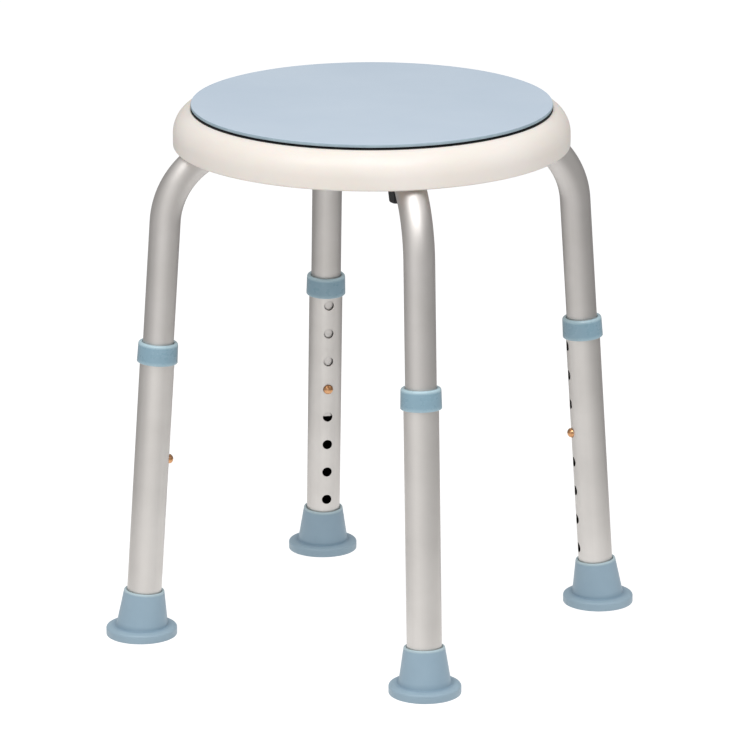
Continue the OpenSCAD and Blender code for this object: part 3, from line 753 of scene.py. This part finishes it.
def cellMesh(outerR, innerR):
    # one pitch of tube with its hole, on the side toward -X, both walls and the hole's own wall
    c = cellSizes
    side, patch, half = c["side"], c["patch"], legSizes["holePitch"] / 2
    points, faces, seen = [], [], {}

    def keep(*spot):
        key = tuple(round(v / same) for v in spot)
        if key not in seen:
            seen[key] = len(points)
            points.append(spot)
        return seen[key]

    def point(r, y, z):
        return keep(-math.sqrt(max(r * r - y * y, 0)), y, z)

    def backPoint(r, turn, z):
        return keep(-r * math.cos(turn), r * math.sin(turn), z)

    rows = [-half] + [patch * (2 * i / side - 1) for i in range(side + 1)] + [half]
    corners = [(patch, patch), (-patch, patch), (-patch, -patch), (patch, -patch)]
    square = []   # the patch's outline, anticlockwise from its middle right
    count = 4 * side
    for k in range(count):
        t = (k + side / 2) % count / side
        a, b = corners[int(t) - 1], corners[int(t) % 4]
        share = t - int(t)
        square.append((a[0] + (b[0] - a[0]) * share, a[1] + (b[1] - a[1]) * share))

    def circle(radius):
        return arc(0, 0, radius, radius, 0, 360, count)[:-1]

    def between(one, other, share):
        return [(p[0] + (q[0] - p[0]) * share, p[1] + (q[1] - p[1]) * share)
                for p, q in zip(one, other)]

    def band(one, other, flip):
        for k in range(count):
            n = (k + 1) % count
            face = [one[k], one[n], other[n], other[k]]
            faces.append(face[::-1] if flip else face)

    rims = {}
    for r, inner in ((outerR, False), (innerR, True)):
        edge = circle(c["holeR"] + (0 if inner else c["bevel"]))
        loops = [between(square, edge, share) for share in c["loops"]]
        rings = [[point(r, y, z) for y, z in loop] for loop in loops]
        for one, other in zip(rings, rings[1:]):
            band(one, other, inner)
        rims[inner] = rings[-1]
        start = math.asin(patch / r)
        step = 2 * (math.pi - start) / c["rest"]
        ys = rows[1:-1]
        for low, high in ((rows[0], rows[1]), (rows[-2], rows[-1])):
            for y0, y1 in zip(ys, ys[1:]):
                face = [point(r, y, z) for y, z in ((y0, low), (y1, low), (y1, high), (y0, high))]
                faces.append(face if inner else face[::-1])
        for low, high in zip(rows, rows[1:]):
            for i in range(c["rest"]):
                ends = []
                for n in (i, i + 1):
                    if n in (0, c["rest"]):
                        y = patch if n == 0 else -patch
                        ends.append((point(r, y, low), point(r, y, high)))
                    else:
                        turn = start + step * n
                        ends.append((backPoint(r, turn, low), backPoint(r, turn, high)))
                face = [ends[0][0], ends[1][0], ends[1][1], ends[0][1]]
                faces.append(face if inner else face[::-1])
    lip = [point(outerR - c["bevelDeep"], y, z) for y, z in circle(c["holeR"])]
    band(rims[False], lip, False)
    band(lip, rims[True], False)
    return meshFrom("tubeCell", points, faces)


def stackTree():
    # repeats one pitch of the tube up its axis and joins the copies into one wall
    tree, given = newTree("perforatedTube", {"Count": "Int", "Pitch": "Float", "Weld": "Float"})
    up = addNode(tree, "ShaderNodeCombineXYZ", {"Z": given.outputs["Pitch"]})
    line = addNode(tree, "GeometryNodeMeshLine",
                   {"Count": given.outputs["Count"], "Offset": up.outputs["Vector"]}, mode="OFFSET")
    stacked = addNode(tree, "GeometryNodeInstanceOnPoints",
                      {"Points": line.outputs["Mesh"], "Instance": given.outputs["Geometry"]})
    real = addNode(tree, "GeometryNodeRealizeInstances", {"Geometry": stacked.outputs["Instances"]})
    welded = addNode(tree, "GeometryNodeMergeByDistance",
                     {"Geometry": real.outputs["Geometry"], "Distance": given.outputs["Weld"]})
    return finishTree(tree, given, welded.outputs["Geometry"])


def lowerTubeMesh(tree):
    s = legSizes
    cell = cellMesh(lowerR, lowerR - s["lowerWall"])
    mesh = throughTree(tree, cell, {
        "Count": s["holeCount"], "Pitch": s["holePitch"], "Weld": cellSizes["weld"],
        "Finish": lighterPaintedAluminium})
    bm = bmesh.new()
    bm.from_mesh(mesh)
    topZ = (s["holeCount"] - 0.5) * s["holePitch"]

    def rimAt(z):
        return [e for e in bm.edges if e.is_boundary and abs(e.verts[0].co.z - z) < flush]

    # plain tube runs on below the lowest hole and above the top one
    for edgeZ, endZ in ((-s["holePitch"] / 2, s["lowerStart"] - s["lowestHole"]),
                        (topZ, s["lowerEnd"] - s["lowestHole"])):
        grown = bmesh.ops.extrude_edge_only(bm, edges=rimAt(edgeZ))["geom"]
        for vertex in [g for g in grown if isinstance(g, bmesh.types.BMVert)]:
            vertex.co.z = endZ
        bmesh.ops.bridge_loops(bm, edges=rimAt(endZ))
    bm.to_mesh(mesh)
    bm.free()
    ringPlace(mesh)
    return tidyMesh(mesh)


holeTree = stackTree()
for leg in legTurns:
    tube = place("lowerTube_" + leg, lowerTubeMesh(holeTree),
                 onLegAxis(leg, legSizes["lowestHole"]), "leg_" + leg, "tube_aluminium",
                 "leg_lower_" + leg, finish=lighterPaintedAluminium)
    paintBoreShade(tube, lowerR - legSizes["lowerWall"] / 2, paintedShadeBore)
print("lower tubes made")

collarSizes = {"high": 17.2 * mm, "lip": 2.5 * mm, "baseWall": 2.5 * mm, "topWall": 2.1 * mm,
               "topEdge": 1.9 * mm, "baseEdge": 0.6 * mm, "mouthEdge": 0.9 * mm, "loose": 0.3 * mm,
               "grip": 0.05 * mm, "topPaintedBand": 3 * mm, "basePaintedBand": 3.4 * mm, "topPaintedLight": 1.6,
               "basePaintedLight": 0.7, "turns": 128}


def collarMesh():
    c = collarSizes
    baseR, topR = lowerR + c["baseWall"], lowerR + c["topWall"]
    gripR, lipR = lowerR + c["grip"], upperR + c["loose"]
    under = c["high"] - c["lip"]
    paintedBandEnds = [c["basePaintedBand"] * 0.5, c["basePaintedBand"], c["high"] - c["topPaintedBand"]]
    outline = (
        [(gripR, 0), (baseR - c["baseEdge"], 0)]
        + arc(baseR - c["baseEdge"], c["baseEdge"], c["baseEdge"], c["baseEdge"], -80, 0, 7)
        + [(baseR + (topR - baseR) * z / c["high"], z) for z in paintedBandEnds]
        + arc(topR - c["topEdge"], c["high"] - c["topEdge"], c["topEdge"], c["topEdge"], 8, 90, 10)
        + arc(lipR + c["mouthEdge"], c["high"] - c["mouthEdge"], c["mouthEdge"], c["mouthEdge"],
              90, 180, 7)
        + [(lipR, under), (gripR, under)]
    )
    mesh = tidyMesh(lathe("guideCollar", outline, c["turns"]))
    # painted highlight: the collar is painted lighter near its top and bottom lips
    toneEdges(mesh, lambda r, z: max(c["topPaintedLight"] * (z - paintedBandEnds[2]) / c["topPaintedBand"],
                                     c["basePaintedLight"] * (1 - z / c["basePaintedBand"]), 0))
    return mesh


for leg in legTurns:
    place("guideCollar_" + leg, collarMesh(), onLegAxis(leg, legSizes["collarAt"]), "leg_" + leg,
          "collar_plastic", "collar_" + leg)
print("collars made")

footSizes = {
    "flangeR": 29.5 * mm, "flange": 8 * mm, "flangeEdge": 2 * mm, "flangeDrop": 0.5 * mm,
    "soleEdge": 0.8 * mm, "groove": 1.6 * mm, "grooveDeep": 1.2 * mm, "grooves": (0.45, 0.65, 0.85),
    "high": 38.6 * mm, "baseWall": 7.2 * mm, "fillet": 1.2 * mm, "coneStart": 0.04,
    "mouthWall": 2.6 * mm, "mouthEdge": 1.1 * mm, "mouthFlare": 1.5 * mm,
    "mouth": ((0.55, 0.1 * mm), (0.25, 0.7 * mm), (0, 2 * mm)),   # share of the flare, and depth
    "grip": 0.05 * mm, "sole": 7 * mm, "leanOver": 3.6 * mm,
    "mouthPaintedBand": 2.2 * mm, "lipPaintedLight": 1.5, "creaseReach": 2.8 * mm, "flangePaintedLight": 0.1, "turns": 144,
}


def footMesh():
    # rings run up the foot; each leans from upright at the flange to the leg's slope at the socket
    f = footSizes
    baseR, mouthR, gripR = lowerR + f["baseWall"], lowerR + f["mouthWall"], lowerR + f["grip"]
    sole = [(0, 0)]
    for share in f["grooves"]:
        middle = share * f["flangeR"]
        near, far = middle - f["groove"] / 2, middle + f["groove"] / 2
        sole += [(near, 0), (near, f["grooveDeep"]), (far, f["grooveDeep"]), (far, 0)]
    slope = math.degrees(math.atan2(f["high"] - f["flange"], baseR - mouthR))   # the cone's side
    rise = f["flange"] + f["fillet"]
    coneLow = baseR + (mouthR - baseR) * f["coneStart"]
    sideTop = f["high"] - f["mouthEdge"]
    paintedBandEnds = [rise + f["creaseReach"], f["high"] - f["mouthPaintedBand"]]
    outline = (
        sole
        + arc(f["flangeR"] - f["soleEdge"], f["soleEdge"], f["soleEdge"], f["soleEdge"], -90, 0, 4)
        + arc(f["flangeR"] - f["flangeEdge"], f["flange"] - f["flangeEdge"] - f["flangeDrop"],
              f["flangeEdge"], f["flangeEdge"], 0, 80, 8)
        + [(coneLow + f["fillet"] + f["creaseReach"], f["flange"])]
        + arc(coneLow + f["fillet"], rise, f["fillet"], f["fillet"], -90, -90 - slope, 8)
        + [(coneLow + (mouthR - coneLow) * (z - rise) / (sideTop - rise), z) for z in paintedBandEnds]
        + arc(mouthR - f["mouthEdge"], f["high"] - f["mouthEdge"], f["mouthEdge"], f["mouthEdge"],
              90 - slope, 90, 8)
        + [(gripR + f["mouthFlare"] * wide, f["high"] - deep) for wide, deep in f["mouth"]]
        + [(gripR, f["sole"]), (0, f["sole"])]
    )

    # painted highlight at the mouth's lip and a little over the flange, painted shade in the crease above the
    # flange
    def toneAt(r, z):
        lip = f["lipPaintedLight"] * (z - paintedBandEnds[1]) / f["mouthPaintedBand"]
        rim = f["flangePaintedLight"] if r > coneLow + f["creaseReach"] else 0
        crease = max(1 - math.hypot(r - coneLow, z - f["flange"]) / f["creaseReach"], 0)
        return max(lip, rim, 0) - crease

    mesh = lathe("rubberFoot", outline, f["turns"], closed=False)
    toneEdges(mesh, toneAt)
    lean = Matrix.Rotation(-splay, 4, "Y")
    for vertex in mesh.vertices:
        x, y, z = vertex.co
        share = min(max((z - f["flange"]) / f["leanOver"], 0), 1)
        inSocket = math.hypot(x, y) < gripR + f["mouthFlare"] and z > f["sole"] - flush
        share = 1 if inSocket else share * share * (3 - 2 * share)
        vertex.co = vertex.co.lerp(lean @ vertex.co, share)
    return tidyMesh(mesh)


for leg in legTurns:
    place("rubberFoot_" + leg, footMesh(), toLeg(leg) @ Matrix.Translation((footX, 0, 0)),
          "leg_" + leg, "foot_rubber", "foot_" + leg)
print("feet made")

buttonSizes = {"r": 3.95 * mm, "tip": 18.1 * mm, "dome": 2.5 * mm, "domeSteps": 12,
               "edge": 0.35 * mm, "edgeIn": 0.14 * mm, "back": 10.85 * mm, "rivetR": 1.8 * mm,
               "rivetHeadR": 2.8 * mm, "rivetBack": 9.354 * mm, "rivetHead": 0.7 * mm, "turns": 64}


def buttonMesh():
    # turned along Z, dome up; its tail goes through the leaf to a flat rivet head
    b = buttonSizes
    domeR = (b["r"] ** 2 + b["dome"] ** 2) / (2 * b["dome"])
    start = math.degrees(math.acos((b["r"] - b["edgeIn"]) / domeR))
    dome = arc(0, b["tip"] - domeR, domeR, domeR, start, 90, b["domeSteps"])
    headTop = b["rivetBack"] + b["rivetHead"]
    outline = (
        [(0, b["rivetBack"]), (b["rivetHeadR"], b["rivetBack"]), (b["rivetHeadR"], headTop),
         (b["rivetR"], headTop), (b["rivetR"], b["back"]), (b["r"] - b["edge"], b["back"]),
         (b["r"], b["back"] + b["edge"]), (b["r"], dome[0][1] - b["edge"])]
        + dome
    )
    return tidyMesh(lathe("snapButton", outline, b["turns"], closed=False), 40)


knobSizes = {"r": 10 * mm, "taper": 1.2 * mm, "edge": 1.8 * mm, "topEdge": 0.6 * mm,
             "band": 1.5 * mm, "sideSteps": 10, "bore": 3.05 * mm, "skin": 2 * mm, "turns": 160,
             "flutes": 10, "fluteDeep": 1.3 * mm, "fluteRunOut": 1.2 * mm, "fluteTop": 0.3 * mm,
             "fluteShape": 0.8, "fluteInner": 1.5, "fluteFade": 3}


def knobMesh():
    k = knobSizes
    lowR = k["r"] - k["taper"]
    high = knobHigh.z - knobLow.z
    bandZ = high - k["band"]
    shares = [i / k["sideSteps"] for i in range(1, k["sideSteps"] + 1)]
    side = [(lowR + k["taper"] * s, k["edge"] + (bandZ - k["edge"]) * s) for s in shares]
    outline = (
        [(0, 0)] + arc(lowR - k["edge"], k["edge"], k["edge"], k["edge"], -90, 0, 8) + side
        + arc(k["r"] - k["topEdge"], high - k["topEdge"], k["topEdge"], k["topEdge"], 0, 90, 4)
        + [(k["bore"], high), (k["bore"], k["skin"]), (0, k["skin"])]
    )

    def fluted(reach, z, a):
        if reach < k["bore"] * k["fluteInner"] or z > bandZ - k["fluteTop"]:
            return reach
        wave = max(math.cos(k["flutes"] * a), 0) ** k["fluteShape"]
        fade = min(max((bandZ - z) / k["fluteRunOut"], 0), 1)
        return reach - k["fluteDeep"] * wave * fade * min(reach / lowR, 1) ** k["fluteFade"]

    return tidyMesh(lathe("clampKnob", outline, k["turns"], closed=False, shape=fluted), 40)


for leg in legTurns:
    place("snapButton_" + leg, buttonMesh(), onLegAxis(leg, legSizes["buttonAt"]) @ outOfTube,
          "button_" + leg, "button_brass", "snap_button_" + leg)
    place("clampKnob_" + leg, knobMesh(), toLeg(leg) @ Matrix.Translation((boltX, 0, knobLow.z)),
          "knob_" + leg, "black_plastic", "hand_knob_" + leg)
print("buttons and knobs made")

stageSizes = {"floor": 40, "floorGap": 0.5 * mm, "floorGrey": 0.45, "vinylGrey": 0.75,
              "world": 0.55}


def grey(level):
    return (level, level, level, 1)


def seenRays(tree):
    # one for a ray that sees things straight, in a shine or through something clear, else nought
    rays = addNode(tree, "ShaderNodeLightPath").outputs
    seen = mathNode(tree, "MAXIMUM", rays["Is Camera Ray"], rays["Is Glossy Ray"])
    return mathNode(tree, "MAXIMUM", seen, rays["Is Transmission Ray"])


def floorMaterial():
    # what sees it finds it white but for the shadow; it lights the stool as pale vinyl
    s = stageSizes
    material, tree = newMaterial("pale-vinyl-floor")
    plain = addNode(tree, "ShaderNodeBsdfDiffuse", {"Color": grey(s["vinylGrey"])})
    shaded = addNode(tree, "ShaderNodeBsdfDiffuse", {"Color": grey(s["floorGrey"])})
    glow = addNode(tree, "ShaderNodeEmission",
                   {"Color": grey(1), "Strength": 1 - s["floorGrey"] * s["world"]})
    white = addNode(tree, "ShaderNodeAddShader", {0: shaded.outputs[0], 1: glow.outputs[0]})
    return finishMaterial(material, addNode(
        tree, "ShaderNodeMixShader", {0: seenRays(tree), 1: plain.outputs[0], 2: white.outputs[0]}))


# the frame stays put while the legs are drawn out, so the floor lies just below their reach
floorZ = legSlide["range_m"][1] * legSlide["axis"][2] - stageSizes["floorGap"]
farOut = stageSizes["floor"] / 2
corners = [(-farOut, -farOut), (farOut, -farOut), (farOut, farOut), (-farOut, farOut)]
floor = newObject("floor", meshFrom("floor", [(x, y, floorZ) for x, y in corners], [[0, 1, 2, 3]]))
floor.data.materials.append(floorMaterial())

# a ring of grey cloth round the stool, seen only in what shines: it shades the tubes
flagSizes = {
    "r": 0.75, "high": 0.85, "clear": 1 * mm, "steps": 72,
    # degrees round from the front, and brightness
    "shades": ((-180, 0.3), (-127, 0.4), (-75, 0.62), (-42, 1.0), (-14, 0.78), (10, 0.6),
               (47, 0.42), (101, 0.34), (180, 0.3)),
}


def flagMesh():
    f = flagSizes
    points, ways = [], []
    for i in range(f["steps"] + 1):
        a = math.radians(-270 + 360 * i / f["steps"])
        points += [(f["r"] * math.cos(a), f["r"] * math.sin(a), z)
                   for z in (floorZ + f["clear"], f["high"])]
        ways += [i / f["steps"]] * 2
    faces = [[k, k + 2, k + 3, k + 1] for k in range(0, 2 * f["steps"], 2)]
    mesh = meshFrom("greyCloth", points, faces)
    mesh.attributes.new("wayRound", "FLOAT", "POINT").data.foreach_set("value", ways)
    return mesh


def flagMaterial():
    material, tree = newMaterial("graded-grey-cloth")
    way = addNode(tree, "ShaderNodeAttribute", attribute_name="wayRound")
    ramp = addNode(tree, "ShaderNodeValToRGB", {"Fac": way.outputs["Fac"]})
    shades = flagSizes["shades"]
    stops = ramp.color_ramp.elements
    while len(stops) < len(shades):
        stops.new(0.5)
    for stop, (where, level) in zip(stops, shades):
        stop.position, stop.color = 0.5 + where / 360, grey(level)
    return finishMaterial(material, addNode(
        tree, "ShaderNodeEmission", {"Color": ramp.outputs["Color"], "Strength": 1}))


flag = newObject("greyCloth", flagMesh())
flag.data.materials.append(flagMaterial())
flag.visible_camera = flag.visible_diffuse = flag.visible_shadow = flag.visible_transmission = False

world = bpy.data.worlds.new("studio")
bpy.context.scene.world = world
world.use_nodes = True
sky = world.node_tree
sky.nodes.clear()
plainSky, whiteSky = [addNode(sky, "ShaderNodeBackground", {"Color": grey(1), "Strength": strength})
                      for strength in (stageSizes["world"], 1)]
skyMix = addNode(sky, "ShaderNodeMixShader",
                 {0: seenRays(sky), 1: plainSky.outputs[0], 2: whiteSky.outputs[0]})
addNode(sky, "ShaderNodeOutputWorld", {"Surface": skyMix.outputs[0]})

middle = Vector((0, 0, (cadBox[0].z + cadBox[1].z) / 2))
# name, where it stands from the stool's middle, its size in metres, its power in watts
lamps = [
    ("softboxLeft", (-1.7, -1.2, 1.9), (1.3, 1.3), 9.5),
    ("softboxFront", (-0.4, -1.35, 2.15), (2.2, 1.6), 25),
    ("softboxRight", (2.0, -1.0, 1.1), (0.8, 1.4), 5),
    ("softboxSmall", (0.15, -1.9, 1.9), (0.3, 0.3), 2.5),
]
for name, offset, size, power in lamps:
    lamp = bpy.data.lights.new(name, "AREA")
    lamp.shape = "RECTANGLE"
    lamp.size, lamp.size_y = size
    lamp.energy = power
    box = newObject(name, lamp)
    box.location = middle + Vector(offset)
    box.rotation_euler = (-Vector(offset)).to_track_quat("-Z", "Y").to_euler()
    box.visible_camera = False

cameraSizes = {"azimuth": -12.64, "elevation": 16.02, "distance": 4.6078, "lens": 266.5,
               "target": (0.0026, -0.0006, 0.2115), "near": 0.1, "far": 100}
azimuth, elevation = [math.radians(cameraSizes[name]) for name in ("azimuth", "elevation")]
back = Vector((math.sin(azimuth) * math.cos(elevation), -math.cos(azimuth) * math.cos(elevation),
               math.sin(elevation)))
camera = newObject("camera", bpy.data.cameras.new("camera"))
camera.data.lens = cameraSizes["lens"]
camera.data.clip_start, camera.data.clip_end = cameraSizes["near"], cameraSizes["far"]
camera.location = Vector(cameraSizes["target"]) + back * cameraSizes["distance"]
camera.rotation_euler = (-back).to_track_quat("-Z", "Y").to_euler()
bpy.context.scene.camera = camera
bpy.context.scene.view_settings.view_transform = "Standard"

print("stage set")
